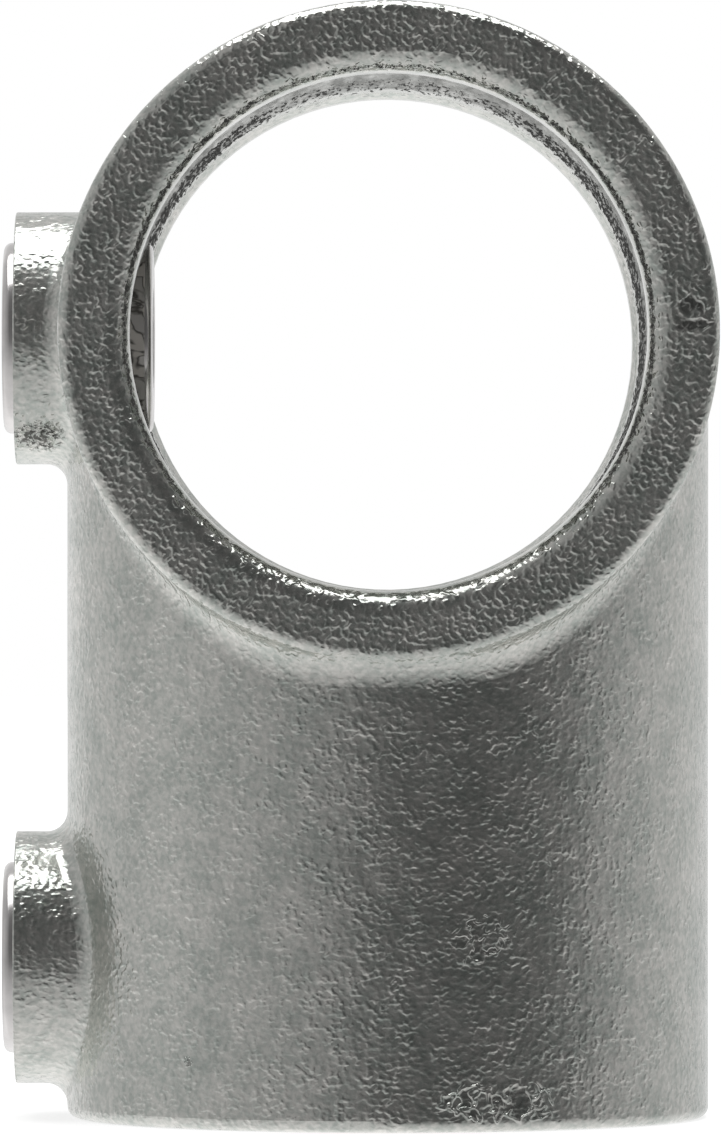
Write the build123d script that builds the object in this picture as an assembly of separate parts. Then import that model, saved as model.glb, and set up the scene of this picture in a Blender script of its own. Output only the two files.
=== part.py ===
from build123d import *
import math
import os

# Tube clamp tee fitting: one galvanised casting with a collar that a tube runs through, a socket
# under it for the end of a second tube, and a set screw in a boss on each.
# The origin is where the two tube axes cross. The collar's bore runs along Y, the socket opens
# downwards along -Z, and both bosses point to -X. All lengths are in millimetres.

# The tube that the fitting takes
tube_diameter = 42.4
tube_play = 0.8  # gap all round a centred tube

# The casting's walls and reach
socket_wall = 5.95
socket_reach = 67.9  # from the collar's axis to the socket's open end
collar_extra_wall = 0.1  # the collar's wall is this much thicker than the socket's
collar_overhang = 1.3  # how far each end of the collar stands proud of the socket's side

# Inside the bores: a narrow land at each mouth, with the cored bore a little wider behind it
mouth_round = 2.0
land_length = 3.0
land_taper = 1.0
core_relief = 0.4

# The seat that stops the tube in the socket, and the opening above it
web = 5.6  # least metal between the seat and the collar's bore
seat_width = 5.2
seat_corner_round = 0.8
neck_round = 0.8

# Bosses for the set screws
boss_wall = 2.62  # round the screw's hole
boss_rise = 4.35  # above the collar's outside
boss_margin = 2.9  # from the lower boss to the socket's open end

# Blends and edges left by the casting, and the countersunk mouth of each tapped hole
junction_fillet = 3.35
boss_fillet = 1.8
rim_round = 1.0
boss_edge_round = 0.15
countersink = 0.5

# Set screws, by the thread's outside diameter
screw_diameter = 16.66
screw_clearance = 0.05  # all round the screw in its hole
screw_proud = 1.05  # how far the outer end stands out of the boss
tip_gap = 0.05  # from the tip to a tube that lies against the far side of the bore
screw_end_round = 0.7
key_across_flats = 8.0
key_depth = 5.5
key_bevel = 0.35
cup_diameter = 9.0
cup_depth = 2.2
drill_point = 0.5  # radius left at the bottom of the cup and of the key's drilled hole

# Sizes that follow from those above
bore_radius = tube_diameter / 2 + tube_play
core_radius = bore_radius + core_relief
socket_radius = bore_radius + socket_wall
collar_radius = socket_radius + collar_extra_wall
collar_half = socket_radius + collar_overhang
collar_length = 2 * collar_half
seat_drop = core_radius + web
neck_radius = bore_radius - seat_width
screw_radius = screw_diameter / 2
hole_radius = screw_radius + screw_clearance
boss_radius = hole_radius + boss_wall
boss_face = collar_radius + boss_rise
screw_tip = tube_diameter - bore_radius + tip_gap
screw_length = boss_face + screw_proud - screw_tip
socket_screw_drop = socket_reach - boss_margin - boss_radius
screw_drops = {"collar_set_screw": 0.0, "socket_set_screw": socket_screw_drop}

# How far a cutter runs past the surface that it opens
overcut = 1.0

# How near a point has to lie to the place that names its edge
near = 0.01


def rod(start, direction, radius, length):
    """A plain cylinder that runs from its start in a direction."""
    return Solid.make_cylinder(radius, length, Plane(origin=start, z_dir=direction))


def cone(start, direction, start_radius, end_radius, length):
    """A plain cone that narrows or widens from its start in a direction."""
    return Solid.make_cone(start_radius, end_radius, length, Plane(origin=start, z_dir=direction))


def samples(edge):
    """Five points spread along an edge, for telling edges apart by their place."""
    return [edge.position_at(step / 4) for step in range(5)]


def is_seam(edge):
    """True for the edge where the socket's round side runs into the collar."""
    if edge.geom_type in (GeomType.LINE, GeomType.CIRCLE):
        return False
    return all(abs(math.hypot(point.X, point.Y) - socket_radius) < near for point in samples(edge))


def crossed_bodies():
    """Collar and socket with rounded rims, and the casting's blend where they meet.

    The collar stands so little proud of the socket that the blend runs out on its rounded rims.
    """
    collar = rod((0, -collar_half, 0), (0, 1, 0), collar_radius, collar_length)
    collar = fillet(collar.edges().filter_by(GeomType.CIRCLE), rim_round)
    socket = rod((0, 0, 0), (0, 0, -1), socket_radius, socket_reach)
    socket = fillet(socket.edges().sort_by(Axis.Z)[0], rim_round)
    body = collar + socket
    seam = [edge for edge in body.edges() if is_seam(edge)]
    return fillet(seam, junction_fillet)


def is_boss_foot(edge, drop):
    """True for an edge that runs round a boss where it meets the casting."""
    if edge.geom_type == GeomType.LINE:
        return False
    for point in samples(edge):
        off_side = abs(math.hypot(point.Y, point.Z + drop) - boss_radius)
        if off_side > near or not near - boss_face < point.X < 0:
            return False
    return True


def is_boss_rim(edge):
    """True for the edge round a boss's flat face."""
    return all(abs(point.X + boss_face) < near for point in samples(edge))


def outside():
    """The whole outside of the casting, with its bosses, blends and rounded rims."""
    body = crossed_bodies()
    for drop in screw_drops.values():
        body = body + rod((0, 0, -drop), (-1, 0, 0), boss_radius, boss_face)
    feet = []
    for drop in screw_drops.values():
        feet += [edge for edge in body.edges() if is_boss_foot(edge, drop)]
    body = fillet(feet, boss_fillet)
    rims = [edge for edge in body.edges() if is_boss_rim(edge)]
    return fillet(rims, boss_edge_round)


def mouth_outline(end, inwards):
    """Half the outline of a bore's mouth, drawn as radius and height, and the point it stops at.

    It starts outside the flat end, rounds into the land and widens into the cored bore. end is
    the height of the flat end, and inwards is 1 or -1 for the way into the metal.
    """
    lip = bore_radius + mouth_round
    land_start = end + inwards * mouth_round
    land_stop = land_start + inwards * land_length
    core = (core_radius, land_stop + inwards * land_taper)
    diagonal = mouth_round * math.sqrt(0.5)
    middle = (lip - diagonal, land_start - inwards * diagonal)
    outer = end - inwards * overcut
    lines = [
        Line((0, outer), (lip, outer)),
        Line((lip, outer), (lip, end)),
        ThreePointArc((lip, end), middle, (bore_radius, land_start)),
        Line((bore_radius, land_start), (bore_radius, land_stop)),
        Line((bore_radius, land_stop), core),
    ]
    return lines, core


def collar_bore():
    """What the through tube's bore takes out, with a mouth at each end."""
    front, front_core = mouth_outline(-collar_half, 1)
    back, back_core = mouth_outline(collar_half, -1)
    outer = collar_half + overcut
    axis_line = Line((0, outer), (0, -outer))
    outline = make_face(front + [Line(front_core, back_core)] + back + [axis_line])
    return revolve(outline, Axis.Y)


def socket_bore():
    """What the socket's bore takes out, from its mouth up to the flat seat."""
    mouth, core = mouth_outline(-socket_reach, 1)
    corner = core_radius - seat_corner_round
    diagonal = seat_corner_round * math.sqrt(0.5)
    below_corner = (core_radius, -seat_drop - seat_corner_round)
    middle = (corner + diagonal, -seat_drop - seat_corner_round + diagonal)
    rest = [
        Line(core, below_corner),
        ThreePointArc(below_corner, middle, (corner, -seat_drop)),
        Line((corner, -seat_drop), (0, -seat_drop)),
        Line((0, -seat_drop), (0, -socket_reach - overcut)),
    ]
    return revolve(Plane.XZ * make_face(mouth + rest), Axis.Z)


def is_neck_edge(edge):
    """True for the edges at the two ends of the opening between the bores."""
    if edge.geom_type == GeomType.LINE:
        return False
    return all(abs(math.hypot(point.X, point.Y) - neck_radius) < near for point in samples(edge))


def cored(body):
    """The body with its two bores and the opening that joins them inside the ring seat."""
    neck = rod((0, 0, -seat_drop - overcut), (0, 0, 1), neck_radius, seat_drop + overcut)
    body = body - collar_bore() - socket_bore() - neck
    ends = [edge for edge in body.edges() if is_neck_edge(edge)]
    return fillet(ends, neck_round)


def screw_hole(drop):
    """A set screw's hole through its boss and wall, with a countersunk mouth."""
    hole = rod((-boss_face - overcut, 0, -drop), (1, 0, 0), hole_radius, boss_face + overcut)
    mouth = cone((-boss_face, 0, -drop), (1, 0, 0), hole_radius + countersink, hole_radius, countersink)
    return hole + mouth


def tee_body():
    """The casting: collar, socket and bosses in one piece."""
    body = cored(outside())
    for drop in screw_drops.values():
        body = body - screw_hole(drop)
    return body


def set_screw(drop):
    """A set screw with a hexagon socket in its outer end and a cup point at its tip."""
    outer_end = (-screw_tip - screw_length, 0, -drop)
    tip = (-screw_tip, 0, -drop)
    screw = rod(outer_end, (1, 0, 0), screw_radius, screw_length)
    screw = fillet(screw.edges().filter_by(GeomType.CIRCLE), screw_end_round)
    inwards = Plane(origin=outer_end, x_dir=(0, 0, 1), z_dir=(1, 0, 0))
    flat_radius = key_across_flats / 2
    corner_radius = flat_radius / math.cos(math.pi / 6)
    key = extrude(inwards * RegularPolygon(corner_radius, 6), key_depth)
    key_bottom = inwards.offset(key_depth).origin
    point = cone(key_bottom, (1, 0, 0), flat_radius, drill_point, flat_radius / 3)
    bevel_radius = corner_radius + key_bevel
    bevel = cone(outer_end, (1, 0, 0), bevel_radius, flat_radius, bevel_radius - flat_radius)
    cup = cone(tip, (-1, 0, 0), cup_diameter / 2, drill_point, cup_depth)
    return screw - key - point - bevel - cup


pieces = {"tee_body": tee_body()}
for name, drop in screw_drops.items():
    pieces[name] = set_screw(drop)

os.makedirs("parts", exist_ok=True)
for name, shape in pieces.items():
    shape.label = name
    export_step(shape, f"parts/{name}.step")
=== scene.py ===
import math

import bmesh
import bpy
from mathutils import Matrix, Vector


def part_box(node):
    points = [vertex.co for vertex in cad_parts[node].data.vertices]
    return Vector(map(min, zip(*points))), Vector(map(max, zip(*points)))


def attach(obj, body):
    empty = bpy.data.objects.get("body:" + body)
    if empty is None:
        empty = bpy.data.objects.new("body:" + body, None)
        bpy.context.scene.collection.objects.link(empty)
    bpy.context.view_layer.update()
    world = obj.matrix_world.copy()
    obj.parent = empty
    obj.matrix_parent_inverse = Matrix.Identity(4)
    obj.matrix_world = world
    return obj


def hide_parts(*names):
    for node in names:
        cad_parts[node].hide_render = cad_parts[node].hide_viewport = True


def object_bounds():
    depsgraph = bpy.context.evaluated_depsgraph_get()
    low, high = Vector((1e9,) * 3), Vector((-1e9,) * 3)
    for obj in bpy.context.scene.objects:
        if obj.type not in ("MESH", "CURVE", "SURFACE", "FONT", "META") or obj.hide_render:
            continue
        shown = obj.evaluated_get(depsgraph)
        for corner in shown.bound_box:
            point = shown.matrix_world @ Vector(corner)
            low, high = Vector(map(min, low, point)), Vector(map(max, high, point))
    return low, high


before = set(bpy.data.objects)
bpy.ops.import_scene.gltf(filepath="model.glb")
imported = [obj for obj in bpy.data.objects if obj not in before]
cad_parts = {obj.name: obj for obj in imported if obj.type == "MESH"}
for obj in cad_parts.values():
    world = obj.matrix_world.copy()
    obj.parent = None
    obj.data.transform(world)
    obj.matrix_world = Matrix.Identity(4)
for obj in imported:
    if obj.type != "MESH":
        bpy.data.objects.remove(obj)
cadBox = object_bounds()
scene = bpy.context.scene
mm = 0.001
threadPitch = 1.337  # millimetres, for 19 turns to the inch
socketScrewDrop = (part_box("collar_set_screw")[1][2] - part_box("socket_set_screw")[1][2]) / mm
print("frame loaded:", ", ".join(sorted(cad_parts)))


# camera: the photograph's front view, level with the middle of the fitting
cameraSet = {
    "frameHeight": 1134,
    "pixelsPerMm": 11.459,      # at the plane of the two tube axes
    "distanceMm": 930.4,        # from those axes
    "acrossMm": -2.38,
    "upMm": -19.96,
    "sensorMm": 36.0,
    "clipNearM": 0.05,
    "clipFarM": 20.0,
}


def makeCamera(s):
    data = bpy.data.cameras.new("photoCamera")
    data.sensor_width = s["sensorMm"]
    focalPixels = s["pixelsPerMm"] * s["distanceMm"]
    data.lens = focalPixels / s["frameHeight"] * s["sensorMm"]
    data.clip_start = s["clipNearM"]
    data.clip_end = s["clipFarM"]
    camera = bpy.data.objects.new("photoCamera", data)
    scene.collection.objects.link(camera)
    camera.location = (s["acrossMm"] * mm, -s["distanceMm"] * mm, s["upMm"] * mm)
    camera.rotation_euler = (math.radians(90), 0, 0)
    scene.camera = camera


makeCamera(cameraSet)
print("camera placed")


# node helpers
def newMaterial(name):
    material = bpy.data.materials.new(name)
    material.use_nodes = True
    tree = material.node_tree
    return material, tree, tree.nodes["Principled BSDF"]


def addNode(tree, kind, **values):
    node = tree.nodes.new(kind)
    for key, value in values.items():
        setattr(node, key, value)
    return node


def wire(tree, source, target):
    tree.links.new(source, target)


def mathNode(tree, operation, first, second=None, third=None):
    node = addNode(tree, "ShaderNodeMath", operation=operation)
    for index, value in enumerate((first, second, third)):
        if value is None:
            continue
        if isinstance(value, (int, float)):
            node.inputs[index].default_value = value
        else:
            wire(tree, value, node.inputs[index])
    return node.outputs[0]


def times(tree, *values):
    product = values[0]
    for value in values[1:]:
        product = mathNode(tree, "MULTIPLY", product, value)
    return product


def largest(tree, values):
    most = values[0]
    for value in values[1:]:
        most = mathNode(tree, "MAXIMUM", most, value)
    return most


def rangeNode(tree, value, low, high, toLow=0.0, toHigh=1.0, smooth=False):
    node = addNode(tree, "ShaderNodeMapRange")
    node.interpolation_type = "SMOOTHSTEP" if smooth else "LINEAR"
    wire(tree, value, node.inputs["Value"])
    node.inputs["From Min"].default_value = low
    node.inputs["From Max"].default_value = high
    node.inputs["To Min"].default_value = toLow
    node.inputs["To Max"].default_value = toHigh
    return node.outputs["Result"]


def between(tree, value, start, end, fade, smooth=False):
    # 1 from start to end and 0 outside, with each edge faded both ways
    started = rangeNode(tree, value, start - fade, start + fade, smooth=smooth)
    ended = rangeNode(tree, value, end - fade, end + fade, 1.0, 0.0, smooth=smooth)
    return times(tree, started, ended)


def splitPlace(tree, place):
    split = addNode(tree, "ShaderNodeSeparateXYZ")
    wire(tree, place, split.inputs[0])
    return split.outputs


def length2D(tree, first, second):
    squares = mathNode(tree, "MULTIPLY_ADD", first, first, times(tree, second, second))
    return mathNode(tree, "SQRT", squares)


def drawnPlace(tree, place, scales):
    # the place squeezed or drawn out along X, Y and Z, for marks that are longer one way
    drawn = addNode(tree, "ShaderNodeMapping")
    drawn.inputs["Scale"].default_value = scales
    wire(tree, place, drawn.inputs["Vector"])
    return drawn.outputs["Vector"]


# finishes: a shared effect is a node group, with its values set where it is used
def newGroup(name, inputs, outputs):
    group = bpy.data.node_groups.new(name, "ShaderNodeTree")
    for label, kind, value in inputs:
        socket = group.interface.new_socket(name=label, in_out="INPUT", socket_type=kind)
        if value is not None:
            socket.default_value = value
    for label, kind in outputs:
        group.interface.new_socket(name=label, in_out="OUTPUT", socket_type=kind)
    return group, addNode(group, "NodeGroupInput"), addNode(group, "NodeGroupOutput")


def useGroup(tree, group, **values):
    node = addNode(tree, "ShaderNodeGroup")
    node.node_tree = group
    for label, value in values.items():
        socket = node.inputs[label]
        if isinstance(value, (int, float)):
            socket.default_value = value
        else:
            wire(tree, value, socket)
    return node.outputs


def noiseNode(tree, place, size, detail=2.0, roughness=0.5, distortion=0.0, shift=0.0):
    # shift picks another pattern of the same kind, so that no two effects line up
    node = addNode(tree, "ShaderNodeTexNoise")
    node.noise_dimensions = "4D"
    node.inputs["W"].default_value = shift
    node.inputs["Detail"].default_value = detail
    node.inputs["Roughness"].default_value = roughness
    node.inputs["Distortion"].default_value = distortion
    if isinstance(size, (int, float)):
        node.inputs["Scale"].default_value = 1 / size
    else:
        wire(tree, mathNode(tree, "DIVIDE", 1.0, size), node.inputs["Scale"])
    wire(tree, place, node.inputs["Vector"])
    return node.outputs["Fac"]


mottleSet = {
    "detail": 3.0,
    "distortion": 0.4,
    "noiseFrom": 0.32,
    "noiseTo": 0.68,
}


def makeMottle(s):
    # soft patches of tone, from 0 to 1, as on zinc that set at different times or on handled steel
    group, given, made = newGroup(
        "mottle",
        [("Place", "NodeSocketVector", None), ("Size", "NodeSocketFloat", 5.0)],
        [("Patches", "NodeSocketFloat")],
    )
    broad = noiseNode(group, given.outputs["Place"], given.outputs["Size"],
                      detail=s["detail"], distortion=s["distortion"])
    patches = rangeNode(group, broad, s["noiseFrom"], s["noiseTo"], smooth=True)
    wire(group, patches, made.inputs["Patches"])
    return group


mottle = makeMottle(mottleSet)


def millimetreCoords(tree):
    # every piece's mesh is in the shared frame, so its Object coordinates are too
    coords = addNode(tree, "ShaderNodeTexCoord")
    mapping = addNode(tree, "ShaderNodeMapping")
    mapping.inputs["Scale"].default_value = (1 / mm, 1 / mm, 1 / mm)
    wire(tree, coords.outputs["Object"], mapping.inputs["Vector"])
    return mapping.outputs["Vector"]


def bumpFrom(tree, shader, height):
    # heights are in millimetres
    bump = addNode(tree, "ShaderNodeBump")
    bump.inputs["Distance"].default_value = mm
    bump.inputs["Strength"].default_value = 1.0
    wire(tree, height, bump.inputs["Height"])
    wire(tree, bump.outputs["Normal"], shader.inputs["Normal"])


def mixColour(tree, share, first, second):
    node = addNode(tree, "ShaderNodeMix")
    node.data_type = "RGBA"
    wire(tree, share, node.inputs["Factor"])
    for socket, colour in ((node.inputs[6], first), (node.inputs[7], second)):    # A and B as colours
        if isinstance(colour, tuple):
            socket.default_value = (*colour, 1)
        else:
            wire(tree, colour, socket)
    return node.outputs[2]


# galvanised casting: small swellings in a glossy zinc skin, flatter in patches
# lengths are in millimetres, with heights and radii from the collar's axis
castSet = {
    "zincGreen": (0.485, 0.522, 0.489),
    "zincWarm": (0.783, 0.769, 0.733),
    "patchSize": 5.0,
    "fleckSize": 0.6,
    "fleckShare": 0.6,
    "roughness": 0.15,
    "roughnessDull": 0.24,
    "dullSize": 4.5,
    "dullNoise": (0.35, 0.65),
    # relief of the skin
    "collarGrain": {"size": 0.45, "detail": 0.3, "upright": 1.0, "noise": (0.4, 0.8), "height": 0.084,
                    "spotSize": 1.3, "spotNoise": (0.36, 0.62), "least": 0.35},
    "socketGrain": {"size": 0.5, "detail": 0.4, "upright": 1.25, "noise": (0.38, 0.78), "height": 0.06,
                    "spotSize": 1.6, "spotNoise": (0.4, 0.65), "least": 0.3},
    "collarReach": (28.3, 30.0),       # radii between which the collar's grain gives way to the socket's
    "frostSize": 0.2,
    "frostHeight": 0.002,
    "waveSize": 1.3,
    "waveHeight": 0.07,
    # rough spots: middle and reach across and up, then grain, strength and the painted shade in the pits
    "roughSpots": (
        {"middle": (7.8, -51.6), "reach": (3.4, 2.8), "grain": 1.0, "strength": 0.3, "pitShade": 0.25},
        {"middle": (9.2, -65.4), "reach": (6.6, 2.2), "grain": 1.3, "strength": 0.9, "pitShade": 0.35},
        {"middle": (25.4, 1.4), "reach": (2.4, 3.2), "grain": 1.9, "strength": 0.45, "pitShade": 0.6},
        {"middle": (-30.4, -8.6), "reach": (2.9, 1.5), "grain": 0.42, "strength": 1.0, "pitShade": 0.85},
        {"middle": (-17.1, -62.1), "reach": (0.5, 0.5), "grain": 0.4, "strength": 1.0, "pitShade": 0.5},
    ),
    "roughBehind": -2.0,               # no rough spots behind this place along Y
    "roughWhole": 0.35,                # share of the reach inside which a spot keeps its strength
    "roughRim": 0.25,                  # strength under which pits and ridges fade out
    "roughClose": 0.24,                # how much closer together the pits are in the middle
    "roughEdge": 0.68,                 # level of the noise at a pit's edge
    "roughSoft": 0.1,                  # half the noise's change across the ridge round a pit
    "roughDepth": 0.07,
    "roughRidge": 0.08,
    # smooth lands and tapped holes
    "landEdge": (22.05, 22.3),         # radius where the lands end, and where the relief is full again
    "landRelief": 0.12,                # how much of the relief is left on the lands
    "seatHeight": -28.0,               # below this the nearer bore is the socket's
    "seatFade": 0.1,
    "farOff": 50.0,                    # put on the socket's radius above the seat, so it isn't nearer
    "tapWall": (8.42, 8.47),           # distance from the screw's axis that still counts as the wall
    "tapInner": -21.0,                 # along X, where the holes open into the bores
    "tapDepth": 1.4,
    # painted dark reflection and painted shade inside the collar's bore
    # colour of the painted shade in the pits and of the painted dark reflection in the bore
    "paintedShade": (0.06, 0.059, 0.055),
    "paintedShadeMatt": 0.7,
    "boreWall": (22.7, 22.5),          # radius where marks in the bore end, and where they are full
    "paintedReflectionBand": (-5.0, 18.0),       # along the bore
    "paintedShadeFade": 4.0,
    "paintedReflectionGrain": 0.42,              # round the bore
    "paintedShadeDrawn": 10.0,              # how many times longer the marks are along the bore
    "paintedReflectionDetail": 4.0,
    "paintedReflectionRough": 0.65,
    "paintedReflectionSides": (5.0, 17.0),       # distance from the middle, for the top of the bore
    "paintedReflectionTop": 0.5,                 # how much is left at the top
    "paintedReflectionLower": (-10.0, -17.5),    # height, for the bottom of the bore
    "paintedReflectionBottom": 0.22,             # how much is left at the bottom
    "paintedReflectionFull": 0.78,
    "paintedReflectionBreak": 4.0,               # how far the noise breaks it up
    "speckEdge": (0.4, 0.75),
    "speckLevel": (0.05, 0.15),        # levels under which nothing shows
    "mouthLine": (22.18, 22.6),        # radius of the dark line on the rounding of each mouth
    "mouthEnds": (27.6, 27.9),         # from the bore's middle
    "mouthFade": 0.12,
    "mouthGrain": 0.35,
    "mouthFull": 0.66,
    # painted shade in the middle of the collar's bore
    "boreShadeBand": (-20.0, 14.0),
    "boreShade": 0.6,
    "boreShadeStreak": 1.1,                # round the bore
    "boreShadeNoise": (0.3, 0.7),
    "boreShadeThin": 0.35,
    "boreShadeColour": (0.2, 0.2, 0.19),
}


def grains(tree, place, g):
    # small round swellings with flat ground between them, stronger in spots
    swell = noiseNode(tree, drawnPlace(tree, place, (1, 1, g["upright"])), g["size"], detail=g["detail"])
    swell = rangeNode(tree, swell, *g["noise"], smooth=True)
    spots = noiseNode(tree, place, g["spotSize"], detail=1.0, shift=3.0)
    strength = rangeNode(tree, spots, *g["spotNoise"], g["least"], 1.0, smooth=True)
    return times(tree, swell, g["height"], strength)


def roughMarks(tree, place, s):
    # rough spots on the front: height of their pits and ridges, and how much shade is painted in the pits
    axes = splitPlace(tree, place)
    onFront = mathNode(tree, "LESS_THAN", axes["Y"], s["roughBehind"])
    pits, ridges, pitShades = [], [], []
    for spot in s["roughSpots"]:
        (x, z), (reachX, reachZ) = spot["middle"], spot["reach"]
        across = mathNode(tree, "MULTIPLY_ADD", axes["X"], 1 / reachX, -x / reachX)
        up = mathNode(tree, "MULTIPLY_ADD", axes["Z"], 1 / reachZ, -z / reachZ)
        away = length2D(tree, across, up)
        share = times(tree, rangeNode(tree, away, s["roughWhole"], 1.0, 1.0, 0.0, smooth=True), onFront)
        broken = noiseNode(tree, place, spot["grain"], detail=1.0, distortion=0.8, shift=21.0)
        raised = mathNode(tree, "MULTIPLY_ADD", share, s["roughClose"], broken)
        inside = rangeNode(tree, share, 0.0, s["roughRim"])
        pit = rangeNode(tree, raised, s["roughEdge"], s["roughEdge"] + s["roughSoft"], smooth=True)
        pit = times(tree, pit, inside)
        off = mathNode(tree, "ABSOLUTE", mathNode(tree, "SUBTRACT", raised, s["roughEdge"]))
        ridge = rangeNode(tree, off, 0.0, s["roughSoft"], 1.0, 0.0, smooth=True)
        pits.append(times(tree, pit, spot["strength"]))
        ridges.append(times(tree, ridge, inside, spot["strength"]))
        # painted shade: the pits' colour is darkened
        pitShades.append(times(tree, pit, spot["pitShade"]))
    sunk = times(tree, largest(tree, pits), -s["roughDepth"])
    height = mathNode(tree, "MULTIPLY_ADD", largest(tree, ridges), s["roughRidge"], sunk)
    return height, largest(tree, pitShades)


def castRelief(tree, place, roughHeight, s):
    # height of the skin: grain, frost, rough spots and slow waves, all weaker on the lands
    onCollar = grains(tree, place, s["collarGrain"])
    onSocket = grains(tree, place, s["socketGrain"])
    axes = splitPlace(tree, place)
    away = length2D(tree, axes["X"], axes["Z"])
    collarShare = rangeNode(tree, away, *s["collarReach"], 1.0, 0.0, smooth=True)
    change = mathNode(tree, "SUBTRACT", onCollar, onSocket)
    relief = mathNode(tree, "MULTIPLY_ADD", change, collarShare, onSocket)
    frost = noiseNode(tree, place, s["frostSize"], detail=2.0, shift=5.0)
    relief = mathNode(tree, "MULTIPLY_ADD", frost, s["frostHeight"], relief)
    relief = mathNode(tree, "ADD", roughHeight, relief)
    waves = noiseNode(tree, place, s["waveSize"], detail=1.0, shift=9.0)
    relief = mathNode(tree, "MULTIPLY_ADD", waves, s["waveHeight"], relief)
    offLand = rangeNode(tree, boreRadius(tree, place, s), *s["landEdge"], s["landRelief"], 1.0)
    return mathNode(tree, "MULTIPLY_ADD", relief, offLand, tappedThread(tree, place, s))


def roundScrew(tree, place):
    # the place along the nearer screw's axis, and across it both ways
    axes = splitPlace(tree, place)
    lower = mathNode(tree, "LESS_THAN", axes["Z"], -socketScrewDrop / 2)
    return axes["X"], axes["Y"], mathNode(tree, "MULTIPLY_ADD", lower, socketScrewDrop, axes["Z"])


def tappedThread(tree, place, s):
    # height of the thread on the walls of the two screw holes
    along, across, up = roundScrew(tree, place)
    turned = mathNode(tree, "DIVIDE", mathNode(tree, "ARCTAN2", up, across), math.tau)
    turns = mathNode(tree, "SUBTRACT", mathNode(tree, "DIVIDE", along, threadPitch), turned)
    ridge = mathNode(tree, "PINGPONG", turns, 0.5)
    onWall = rangeNode(tree, length2D(tree, across, up), *s["tapWall"], s["tapDepth"], 0.0)
    outside = mathNode(tree, "LESS_THAN", along, s["tapInner"])
    return times(tree, ridge, onWall, outside)


def boreRadius(tree, place, s):
    # distance from the nearer of the two tube axes: the collar's, or the socket's below the seat
    axes = splitPlace(tree, place)
    fromCollar = length2D(tree, axes["X"], axes["Z"])
    seat, fade = s["seatHeight"], s["seatFade"]
    aboveSeat = rangeNode(tree, axes["Z"], seat - fade, seat + fade, 0.0, s["farOff"])
    fromSocket = mathNode(tree, "ADD", length2D(tree, axes["X"], axes["Y"]), aboveSeat)
    return mathNode(tree, "MINIMUM", fromCollar, fromSocket)


def speckled(tree, level, noise, s):
    # a mask that breaks up with the noise, and stays empty where the level is low
    raised = mathNode(tree, "MULTIPLY_ADD", mathNode(tree, "SUBTRACT", noise, 0.5), s["paintedReflectionBreak"], level)
    mask = rangeNode(tree, raised, *s["speckEdge"], smooth=True)
    return times(tree, mask, rangeNode(tree, level, *s["speckLevel"]))


def paintedBoreReflection(tree, place, s):
    # painted dark reflection: a jagged dark band inside the collar's bore and a dark line on its mouths,
    # heavier at the sides
    axes = splitPlace(tree, place)
    away = length2D(tree, axes["X"], axes["Z"])
    fromMiddle = mathNode(tree, "ABSOLUTE", axes["X"])
    sides = rangeNode(tree, fromMiddle, *s["paintedReflectionSides"], s["paintedReflectionTop"], 1.0, smooth=True)
    below = rangeNode(tree, axes["Z"], *s["paintedReflectionLower"], 1.0, s["paintedReflectionBottom"], smooth=True)
    heavy = times(tree, sides, below)
    drawn = drawnPlace(tree, place, (1, 1 / s["paintedShadeDrawn"], 1))
    jag = noiseNode(tree, drawn, s["paintedReflectionGrain"], detail=s["paintedReflectionDetail"],
                    roughness=s["paintedReflectionRough"], shift=13.0)
    inBore = rangeNode(tree, away, *s["boreWall"])
    band = between(tree, axes["Y"], *s["paintedReflectionBand"], s["paintedShadeFade"])
    band = times(tree, band, inBore, heavy, s["paintedReflectionFull"])
    lineJag = noiseNode(tree, place, s["mouthGrain"], detail=3.0, roughness=0.6, shift=17.0)
    atMouth = rangeNode(tree, mathNode(tree, "ABSOLUTE", axes["Y"]), *s["mouthEnds"])
    line = between(tree, away, *s["mouthLine"], s["mouthFade"])
    line = times(tree, line, atMouth, heavy, s["mouthFull"])
    return mathNode(tree, "MAXIMUM", speckled(tree, band, jag, s), speckled(tree, line, lineJag, s))


def paintedBoreShade(tree, place, s):
    # painted shade: a dull dark band in the middle of the collar's bore
    axes = splitPlace(tree, place)
    inBore = rangeNode(tree, length2D(tree, axes["X"], axes["Z"]), *s["boreWall"])
    band = between(tree, axes["Y"], *s["boreShadeBand"], s["paintedShadeFade"], smooth=True)
    drawn = drawnPlace(tree, place, (1, 1 / s["paintedShadeDrawn"], 1))
    streaks = noiseNode(tree, drawn, s["boreShadeStreak"], detail=3.0, shift=27.0)
    streaks = rangeNode(tree, streaks, *s["boreShadeNoise"], s["boreShadeThin"], 1.0)
    return times(tree, inBore, band, s["boreShade"], streaks)


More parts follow.
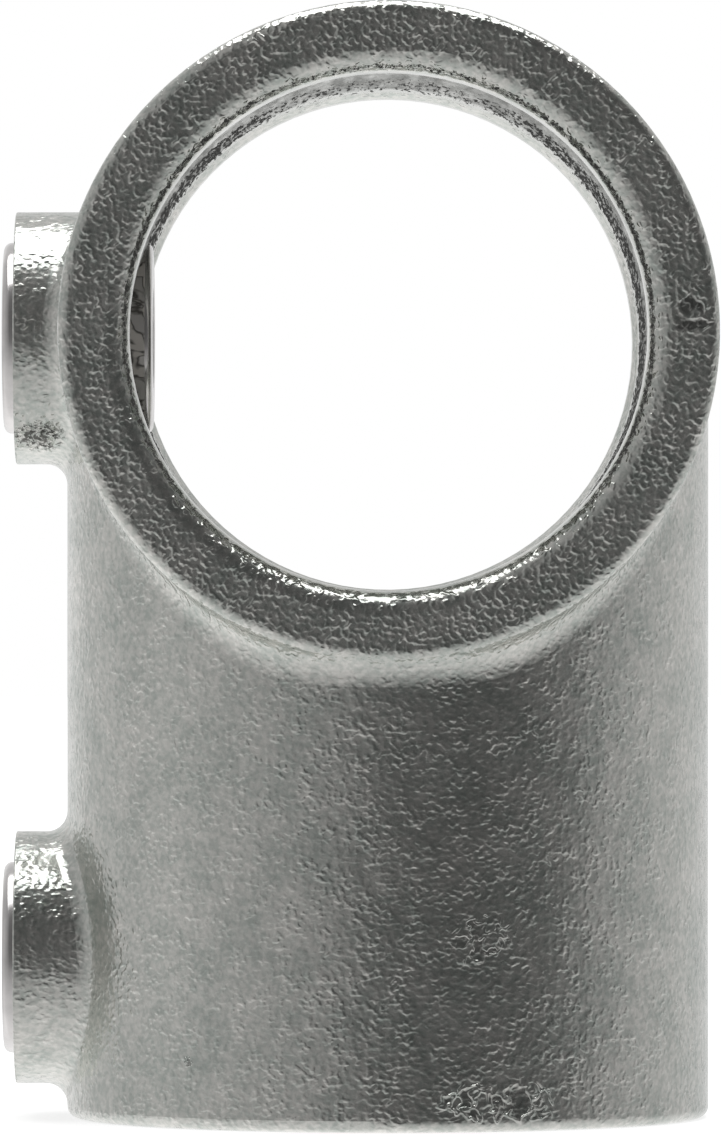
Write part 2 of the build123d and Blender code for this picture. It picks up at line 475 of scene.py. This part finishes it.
def makeCastZinc(s):
    material, tree, shader = newMaterial("galvanisedCasting")
    place = millimetreCoords(tree)
    patches = useGroup(tree, mottle, Place=place, Size=s["patchSize"])["Patches"]
    flecks = useGroup(tree, mottle, Place=place, Size=s["fleckSize"])["Patches"]
    change = mathNode(tree, "SUBTRACT", flecks, patches)
    tone = mathNode(tree, "MULTIPLY_ADD", change, s["fleckShare"], patches)
    colour = mixColour(tree, tone, s["zincGreen"], s["zincWarm"])
    # painted dark reflection inside the collar's bore and on its mouths
    paintedShade = paintedBoreReflection(tree, place, s)
    roughHeight, pitShade = roughMarks(tree, place, s)
    # painted shade in the pits
    colour = mixColour(tree, pitShade, colour, s["paintedShade"])
    # painted shade in the middle of the collar's bore
    boreShade = paintedBoreShade(tree, place, s)
    colour = mixColour(tree, boreShade, colour, s["boreShadeColour"])
    colour = mixColour(tree, paintedShade, colour, s["paintedShade"])
    wire(tree, colour, shader.inputs["Base Color"])
    dull = noiseNode(tree, place, s["dullSize"], detail=2.0, shift=11.0)
    roughness = rangeNode(tree, dull, *s["dullNoise"], s["roughness"], s["roughnessDull"])
    # the painted shade and the painted dark reflection are also made matt and not metal
    dulled = mathNode(tree, "MAXIMUM", paintedShade, boreShade)
    matt = mathNode(tree, "MULTIPLY_ADD", dulled, s["paintedShadeMatt"], roughness)
    wire(tree, matt, shader.inputs["Roughness"])
    wire(tree, mathNode(tree, "SUBTRACT", 1.0, dulled), shader.inputs["Metallic"])
    bumpFrom(tree, shader, castRelief(tree, place, roughHeight, s))
    return material


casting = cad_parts["tee_body"]
casting.data.materials.clear()
casting.data.materials.append(makeCastZinc(castSet))
print("casting finished in zinc")


# set screws: turned steel, with a thread between plain ends, a hexagon socket and a cup point
screwSet = {
    "nodes": ("collar_set_screw", "socket_set_screw"),
    "bodies": ("collar_screw", "socket_screw"),
    "segments": 128,
    "endRound": 0.7,
    "endRoundSteps": 6,
    "threadDepth": 0.856,
    "crestFlat": 0.2,
    "rootFlat": 0.16,
    "plainEnd": 1.7,
    "turnSteps": 96,
    "keyFlats": 8.0,
    "keyDepth": 5.5,
    "keyBevel": 0.35,
    "drillPoint": 0.5,             # radius left at the bottom of the drilled hole and of the cup
    "drillSlope": 1 / 3,           # depth of the drilled cone for each millimetre of its radius
    "cupDiameter": 9.0,
    "cupDepth": 2.2,
    "drillSegments": 48,
    "cupSegments": 64,
    "overcut": 0.5,                # how far the thread's and the key's cutters run past the surface
    "coneOvercut": 0.1,
    "mergeWithin": 0.004,
    "sliverWithin": 0.0004,
    "smoothAngle": 32.0,
    "steel": (0.78, 0.757, 0.75),
    "steelDull": (0.68, 0.662, 0.656),
    "patchSize": 2.2,
    "roughness": 0.13,
    "roughnessDull": 0.22,
    "tipFilm": (0.55, 0.515, 0.47),
    "tipFilmLine": (0.06, 0.055, 0.05),
    "tipFilmReach": (2.6, 1.8),    # where it starts and is full, back from the tip
    "tipFilmStop": (0.7, 0.55),    # where it stops, before the rounded edge
    "tipFilmSize": 1.9,
    "tipFilmNoise": (0.44, 0.52),
    "tipFilmThin": 0.35,
    "tipFilmThick": 0.8,
    "tipFilmMatt": 0.4,
    "tipLineReach": (0.005, 0.045),    # how far the noise is from the middle of a patch's edge
    "tipLineFull": 0.9,
    "turnMarks": 0.12,
    "turnMarkHeight": 0.0015,
}


def chooseOnly(piece):
    bpy.ops.object.select_all(action="DESELECT")
    piece.select_set(True)
    bpy.context.view_layer.objects.active = piece


def addRod(name, startX, endX, startRadius, endRadius, segments):
    # a rod or cone along X, from startX to endX, in millimetres
    bpy.ops.object.select_all(action="DESELECT")
    bpy.ops.mesh.primitive_cone_add(
        vertices=segments, radius1=startRadius * mm, radius2=endRadius * mm, depth=(endX - startX) * mm,
        location=((startX + endX) / 2 * mm, 0, 0), rotation=(0, math.radians(90), 0))
    piece = bpy.context.object
    piece.name = name
    bpy.ops.object.transform_apply(location=True, rotation=True, scale=True)
    return piece


def cutAway(piece, cutter):
    chooseOnly(piece)
    cut = piece.modifiers.new("cut", "BOOLEAN")
    cut.operation = "DIFFERENCE"
    cut.solver = "EXACT"
    cut.object = cutter
    bpy.ops.object.modifier_apply(modifier=cut.name)
    bpy.data.objects.remove(cutter, do_unlink=True)


def roundEnds(piece, ends, s):
    # bevels the sharp edges that lie in the two end planes
    chooseOnly(piece)
    bpy.ops.object.mode_set(mode="EDIT")
    bpy.ops.mesh.select_mode(type="EDGE")
    bpy.ops.mesh.select_all(action="DESELECT")
    within = 1e-6
    sheet = bmesh.from_edit_mesh(piece.data)
    for edge in sheet.edges:
        for end in ends:
            if all(abs(vertex.co.x - end * mm) < within for vertex in edge.verts):
                edge.select = True
    bmesh.update_edit_mesh(piece.data)
    bpy.ops.mesh.bevel(offset=s["endRound"] * mm, segments=s["endRoundSteps"], affect="EDGES")
    bpy.ops.object.mode_set(mode="OBJECT")


def addThreadCutter(startX, turns, radius, s):
    # the groove's outline, wound round the X axis by the pitch
    bpy.ops.object.select_all(action="DESELECT")
    bpy.ops.mesh.primitive_plane_add(size=mm, location=(0, 0, 0))
    cutter = bpy.context.object
    cutter.name = "threadCutter"
    outer = radius + s["overcut"]
    rootRadius = radius - s["threadDepth"]
    slope = (threadPitch - s["crestFlat"] - s["rootFlat"]) / 2 / s["threadDepth"]
    rootHalf = s["rootFlat"] / 2
    outerHalf = rootHalf + slope * (outer - rootRadius)
    corners = ((-outerHalf, outer), (outerHalf, outer), (-rootHalf, rootRadius), (rootHalf, rootRadius))
    for vertex, (x, up) in zip(cutter.data.vertices, corners):
        vertex.co = ((startX + x) * mm, 0, up * mm)
    bpy.ops.object.mode_set(mode="EDIT")
    bpy.ops.mesh.select_all(action="SELECT")
    bpy.ops.mesh.delete(type="ONLY_FACE")
    bpy.ops.object.mode_set(mode="OBJECT")
    wind = cutter.modifiers.new("wind", "SCREW")
    wind.axis = "X"
    wind.screw_offset = threadPitch * mm
    wind.iterations = turns
    wind.steps = s["turnSteps"]
    wind.render_steps = s["turnSteps"]
    bpy.ops.object.modifier_apply(modifier=wind.name)
    bpy.ops.object.mode_set(mode="EDIT")
    bpy.ops.mesh.select_all(action="SELECT")
    bpy.ops.mesh.fill_holes(sides=4)
    bpy.ops.mesh.select_all(action="SELECT")
    bpy.ops.mesh.normals_make_consistent(inside=False)
    bpy.ops.object.mode_set(mode="OBJECT")
    return cutter


def cutKeySocket(screw, outerEnd, s):
    # a hexagon with a drilled bottom and a bevelled mouth
    flatRadius = s["keyFlats"] / 2
    cornerRadius = flatRadius / math.cos(math.radians(30))
    keyEnd = outerEnd + s["keyDepth"]
    key = addRod("key", outerEnd - s["overcut"], keyEnd, cornerRadius, cornerRadius, 6)
    bpy.ops.object.mode_set(mode="EDIT")
    bpy.ops.mesh.select_all(action="SELECT")
    bpy.ops.transform.rotate(value=math.radians(30), orient_axis="X", center_override=(0, 0, 0))
    bpy.ops.object.mode_set(mode="OBJECT")
    cutAway(screw, key)
    past = s["coneOvercut"]
    segments = s["drillSegments"]
    drillTip = keyEnd + flatRadius * s["drillSlope"]
    drill = addRod("keyDrill", keyEnd - past, drillTip, flatRadius - past, s["drillPoint"], segments)
    cutAway(screw, drill)
    wide = cornerRadius + s["keyBevel"]
    bevelEnd = outerEnd + wide - flatRadius
    bevel = addRod("keyMouth", outerEnd - past, bevelEnd, wide + past, flatRadius, segments)
    cutAway(screw, bevel)


def makeSetScrew(s):
    low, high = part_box(s["nodes"][0])
    outerEnd, tip = low[0] / mm, high[0] / mm
    radius = (high[2] - low[2]) / 2 / mm
    screw = addRod("setScrew", outerEnd, tip, radius, radius, s["segments"])
    roundEnds(screw, (outerEnd, tip), s)
    threaded = tip - outerEnd - 2 * s["plainEnd"]
    turns = int(threaded / threadPitch)
    start = (outerEnd + tip - turns * threadPitch) / 2
    cutAway(screw, addThreadCutter(start, turns, radius, s))
    cutKeySocket(screw, outerEnd, s)
    past = s["coneOvercut"]
    cupRadius = s["cupDiameter"] / 2 + past
    cup = addRod("cup", tip - s["cupDepth"], tip + past, s["drillPoint"], cupRadius, s["cupSegments"])
    cutAway(screw, cup)
    chooseOnly(screw)
    bpy.ops.object.mode_set(mode="EDIT")
    bpy.ops.mesh.select_all(action="SELECT")
    bpy.ops.mesh.remove_doubles(threshold=s["mergeWithin"] * mm)
    bpy.ops.mesh.dissolve_degenerate(threshold=s["sliverWithin"] * mm)
    bpy.ops.object.mode_set(mode="OBJECT")
    bpy.ops.object.shade_smooth_by_angle(angle=math.radians(s["smoothAngle"]))
    return screw


def tipFilm(tree, place, s):
    # dried film on the plain end at the tip, thicker in patches, and the darker line round each patch
    axes = splitPlace(tree, place)
    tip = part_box(s["nodes"][0])[1][0] / mm
    start, full = s["tipFilmReach"]
    last, stop = s["tipFilmStop"]
    reach = rangeNode(tree, axes["X"], tip - start, tip - full, smooth=True)
    reach = times(tree, reach, rangeNode(tree, axes["X"], tip - last, tip - stop, 1.0, 0.0))
    broad = noiseNode(tree, place, s["tipFilmSize"], detail=2.0, distortion=0.8, shift=4.0)
    patch = rangeNode(tree, broad, *s["tipFilmNoise"], s["tipFilmThin"], s["tipFilmThick"], smooth=True)
    patchEdge = sum(s["tipFilmNoise"]) / 2
    fromEdge = mathNode(tree, "ABSOLUTE", mathNode(tree, "SUBTRACT", broad, patchEdge))
    outline = rangeNode(tree, fromEdge, *s["tipLineReach"], s["tipLineFull"], 0.0)
    return times(tree, patch, reach), times(tree, outline, reach)


def makeScrewSteel(s):
    material, tree, shader = newMaterial("screwSteel")
    place = millimetreCoords(tree)
    patches = useGroup(tree, mottle, Place=place, Size=s["patchSize"])["Patches"]
    steel = mixColour(tree, patches, s["steel"], s["steelDull"])
    dulled, line = tipFilm(tree, place, s)
    colour = mixColour(tree, dulled, steel, s["tipFilm"])
    wire(tree, mixColour(tree, line, colour, s["tipFilmLine"]), shader.inputs["Base Color"])
    roughness = rangeNode(tree, patches, 0.0, 1.0, s["roughness"], s["roughnessDull"])
    matt = mathNode(tree, "MULTIPLY_ADD", dulled, s["tipFilmMatt"], roughness)
    wire(tree, matt, shader.inputs["Roughness"])
    wire(tree, mathNode(tree, "SUBTRACT", 1.0, dulled), shader.inputs["Metallic"])
    # turning marks run round the screw's own axis, so they follow only the length and the radius
    along, across, up = roundScrew(tree, place)
    turned = addNode(tree, "ShaderNodeCombineXYZ")
    wire(tree, along, turned.inputs[0])
    wire(tree, length2D(tree, across, up), turned.inputs[1])
    marks = noiseNode(tree, turned.outputs[0], s["turnMarks"], detail=2.0)
    bumpFrom(tree, shader, times(tree, marks, s["turnMarkHeight"]))
    return material


def dressScrews(s):
    screw = makeSetScrew(s)
    steel = makeScrewSteel(s)
    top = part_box(s["nodes"][0])[1][2]    # the new screw is made in the first node's place
    for node, bodyName in zip(s["nodes"], s["bodies"]):
        piece = bpy.data.objects.new(node + "_threaded", screw.data.copy())
        scene.collection.objects.link(piece)
        piece.data.transform(Matrix.Translation((0, 0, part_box(node)[1][2] - top)))
        piece.data.materials.clear()
        piece.data.materials.append(steel)
        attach(piece, bodyName)
        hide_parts(node)
    bpy.data.objects.remove(screw, do_unlink=True)


dressScrews(screwSet)
print("set screws cut")


# stage: white floor and surroundings, a broad lamp overhead, and a dark room in front
stageSet = {
    "floorSize": 6.0,
    "floorColour": (0.42, 0.42, 0.42),
    "floorGlowSeen": (0.72, 0.9),    # added for the camera, near and far, so that the floor is white
    "floorReach": (0.15, 0.6),       # metres from the middle
    "roomAxis": (0.47, -0.814, 0.342),    # middle of the dark part, right of the camera and above it
    "roomTone": ((0.0, 0.9), (0.1, 0.85), (0.2, 0.68), (0.33, 0.57), (0.5, 0.47), (0.67, 0.38),
                 (0.79, 0.28), (0.87, 0.16), (0.93, 0.11), (1.0, 0.08)),
    "belowReach": (-0.1, -0.9),      # height in the reflected direction
    "roomBelow": 0.12,               # added to what is reflected from below
    "horizonReach": (-0.08, -0.33),
    "roomHorizon": 0.1,              # and a quicker rise just under the horizon
    "roomLean": 0.14,                # brighter to the right by this share, and darker to the left
    "leftAxis": (-0.845, 0.525, 0.1),     # middle of a smaller dull part, far on the left
    "leftReach": (0.82, 0.985),      # where it starts and is full, as cosines from its middle
    "leftShade": 0.25,
    "diffuseTone": 0.7,
}
lampSet = {
    "heightM": 1.0,
    "backM": 0.09,
    "sizeX": 1.1,
    "sizeY": 0.98,
    "watts": 7.5,
}


def makeFloor(s):
    bpy.ops.object.select_all(action="DESELECT")
    bpy.ops.mesh.primitive_plane_add(size=s["floorSize"], location=(0, 0, cadBox[0][2]))
    floor = bpy.context.object
    floor.name = "studioFloor"
    material, tree, shader = newMaterial("studioFloor")
    shader.inputs["Base Color"].default_value = (*s["floorColour"], 1)
    shader.inputs["Roughness"].default_value = 1.0
    shader.inputs["Specular IOR Level"].default_value = 0.0
    rays = addNode(tree, "ShaderNodeLightPath")
    coords = addNode(tree, "ShaderNodeTexCoord")
    axes = splitPlace(tree, coords.outputs["Object"])
    away = length2D(tree, axes["X"], axes["Y"])
    glow = rangeNode(tree, away, *s["floorReach"], *s["floorGlowSeen"], smooth=True)
    wire(tree, times(tree, rays.outputs["Is Camera Ray"], glow), shader.inputs["Emission Strength"])
    shader.inputs["Emission Color"].default_value = (1, 1, 1, 1)
    floor.data.materials.append(material)
    floor.visible_glossy = False    # reflections show the world below instead


def facing(tree, direction, axis):
    # cosine between the direction looked in and an axis
    node = addNode(tree, "ShaderNodeVectorMath", operation="DOT_PRODUCT")
    wire(tree, direction, node.inputs[0])
    node.inputs[1].default_value = axis
    return node.outputs["Value"]


def roomReflected(tree, direction, s):
    # what polished metal sees: darkest in front, where the camera stands, and bright behind
    toFront = mathNode(tree, "MULTIPLY_ADD", facing(tree, direction, s["roomAxis"]), 0.5, 0.5)
    ramp = addNode(tree, "ShaderNodeValToRGB")
    ramp.color_ramp.interpolation = "EASE"
    stops = ramp.color_ramp.elements
    while len(stops) < len(s["roomTone"]):
        stops.new(1.0)
    for stop, (place, tone) in zip(stops, s["roomTone"]):
        stop.position = place
        stop.color = (tone, tone, tone, 1)
    wire(tree, toFront, ramp.inputs[0])
    axes = splitPlace(tree, direction)
    below = rangeNode(tree, axes["Z"], *s["belowReach"], 0.0, s["roomBelow"], smooth=True)
    horizon = rangeNode(tree, axes["Z"], *s["horizonReach"], 0.0, s["roomHorizon"], smooth=True)
    tone = mathNode(tree, "ADD", ramp.outputs["Color"], mathNode(tree, "ADD", below, horizon))
    toLeft = facing(tree, direction, s["leftAxis"])
    shade = rangeNode(tree, toLeft, *s["leftReach"], 1.0, 1 - s["leftShade"], smooth=True)
    lean = mathNode(tree, "MULTIPLY_ADD", axes["X"], s["roomLean"], 1.0)
    return times(tree, tone, shade, lean)


def makeWorld(s):
    # white for the camera and through glass, a plain grey light, and the room in reflections
    world = bpy.data.worlds.new("studio")
    scene.world = world
    world.use_nodes = True
    tree = world.node_tree
    background = tree.nodes["Background"]
    coords = addNode(tree, "ShaderNodeTexCoord")
    rays = addNode(tree, "ShaderNodeLightPath")
    room = roomReflected(tree, coords.outputs["Generated"], s)
    mirrored = times(tree, room, rays.outputs["Is Glossy Ray"])
    lit = mathNode(tree, "MULTIPLY_ADD", rays.outputs["Is Diffuse Ray"], s["diffuseTone"], mirrored)
    seen = mathNode(tree, "ADD", lit, rays.outputs["Is Camera Ray"])
    strength = mathNode(tree, "ADD", rays.outputs["Is Transmission Ray"], seen)
    wire(tree, strength, background.inputs["Strength"])
    background.inputs["Color"].default_value = (1, 1, 1, 1)


def makeLamp(s):
    data = bpy.data.lights.new("overheadLamp", "AREA")
    data.shape = "RECTANGLE"
    data.size = s["sizeX"]
    data.size_y = s["sizeY"]
    data.energy = s["watts"]
    lamp = bpy.data.objects.new("overheadLamp", data)
    scene.collection.objects.link(lamp)
    lamp.location = (0, s["backM"], s["heightM"])


makeFloor(stageSet)
makeWorld(stageSet)
makeLamp(lampSet)
scene.view_settings.view_transform = "Standard"
print("stage made")
